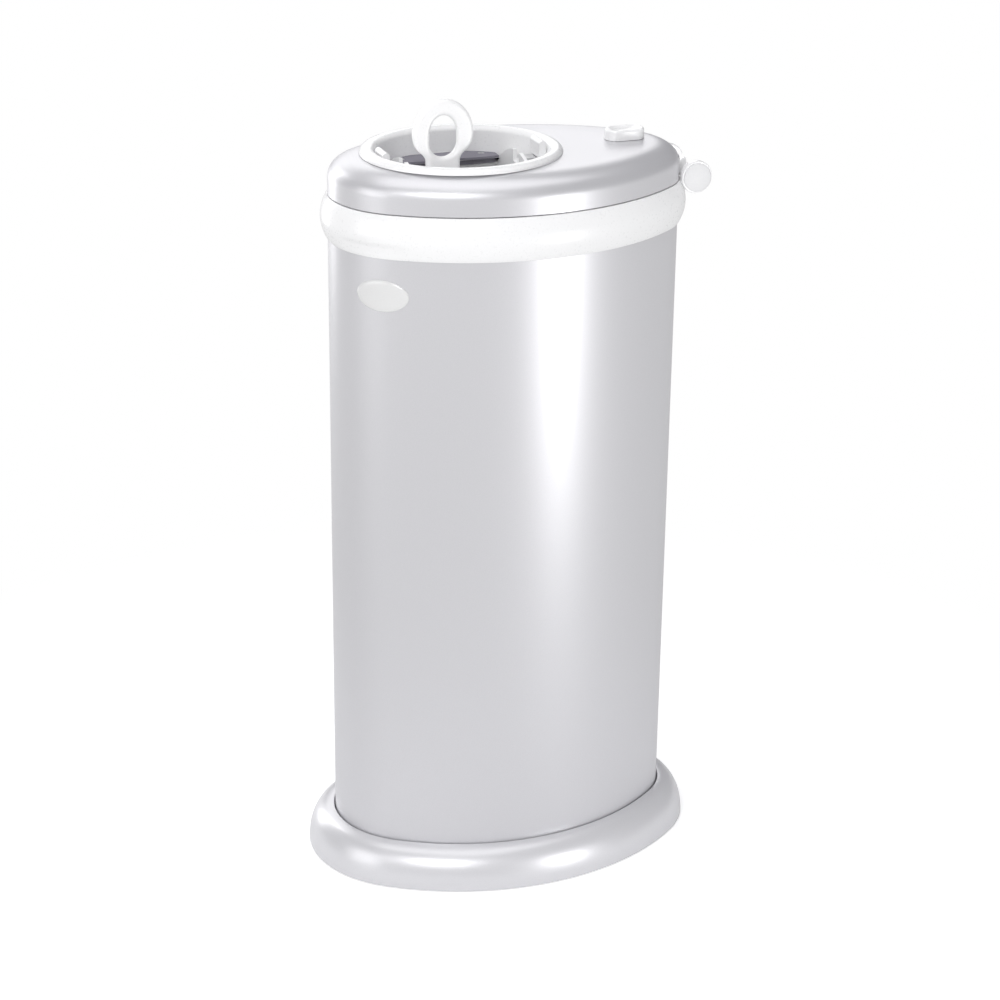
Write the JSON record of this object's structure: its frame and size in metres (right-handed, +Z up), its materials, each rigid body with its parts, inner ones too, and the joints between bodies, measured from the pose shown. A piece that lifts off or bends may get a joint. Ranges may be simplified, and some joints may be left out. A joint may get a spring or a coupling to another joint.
{
  "type": "nappy bin",
  "caption": "Tall oval steel bin with a flared foot, a hinged lid, a turning shutter worked by an upright ring, and a sliding lock.",
  "frame": {"origin": "on the floor, under the middle of the foot", "axes": "+Z up, +Y towards the hinge, -Y towards the lifting end"},
  "size_m": [0.2454, 0.3556, 0.703],
  "materials": {
    "silver_steel": "fine pearl paint, satin",
    "silver_plastic": "painted to match the steel, satin",
    "white_plastic": "gloss",
    "white_badge": "gloss",
    "grey_cap": "satin",
    "grey_rubber": "matte",
    "black_rubber": "matte",
    "bright_steel": "plated"
  },
  "bodies": {
    "bin": {"foot_ring": "silver_plastic", "foot_pads": "black_rubber", "floor_pan": "silver_steel", "foot_screws": "bright_steel", "body_shell": "silver_steel", "collar": "white_plastic", "badge": "white_badge", "hinge_caps": "grey_cap", "hinge_pin": "bright_steel"},
    "lid": {"lid_shell": "silver_steel", "lid_liner": "white_plastic", "lid_seal": "grey_rubber", "hinge_arm": "white_plastic", "arm_screws": "bright_steel", "trim_ring": "white_plastic", "trim_clips": "white_plastic", "chute": "white_plastic", "chute_screws": "bright_steel", "far_wiper": "grey_rubber", "near_wiper": "grey_rubber", "lower_wiper": "grey_rubber", "lock_guide": "white_plastic"},
    "shutter_group": {"shutter": "white_plastic", "shutter_cheeks": "white_plastic", "pivot_pins": "bright_steel", "ring_handle": "white_plastic", "handle_screws": "bright_steel"},
    "lock_group": {"lock_knob": "white_plastic", "lock_bolt": "bright_steel", "lock_screw": "bright_steel"}
  },
  "joints": [
    {"name": "lid_hinge", "type": "hinge", "parent": "bin", "child": "lid", "pos_m": [0, 0.1615, 0.613], "axis": [-1, 0, 0], "range_deg": [0, 95]},
    {"name": "shutter_turn", "type": "hinge", "parent": "lid", "child": "shutter_group", "pos_m": [0, -0.04, 0.5795], "axis": [0, -1, 0], "range_deg": [0, 62]},
    {"name": "lock_slide", "type": "slide", "parent": "lid", "child": "lock_group", "axis": [0, -1, 0], "range_m": [0, 0.006]}
  ]
}
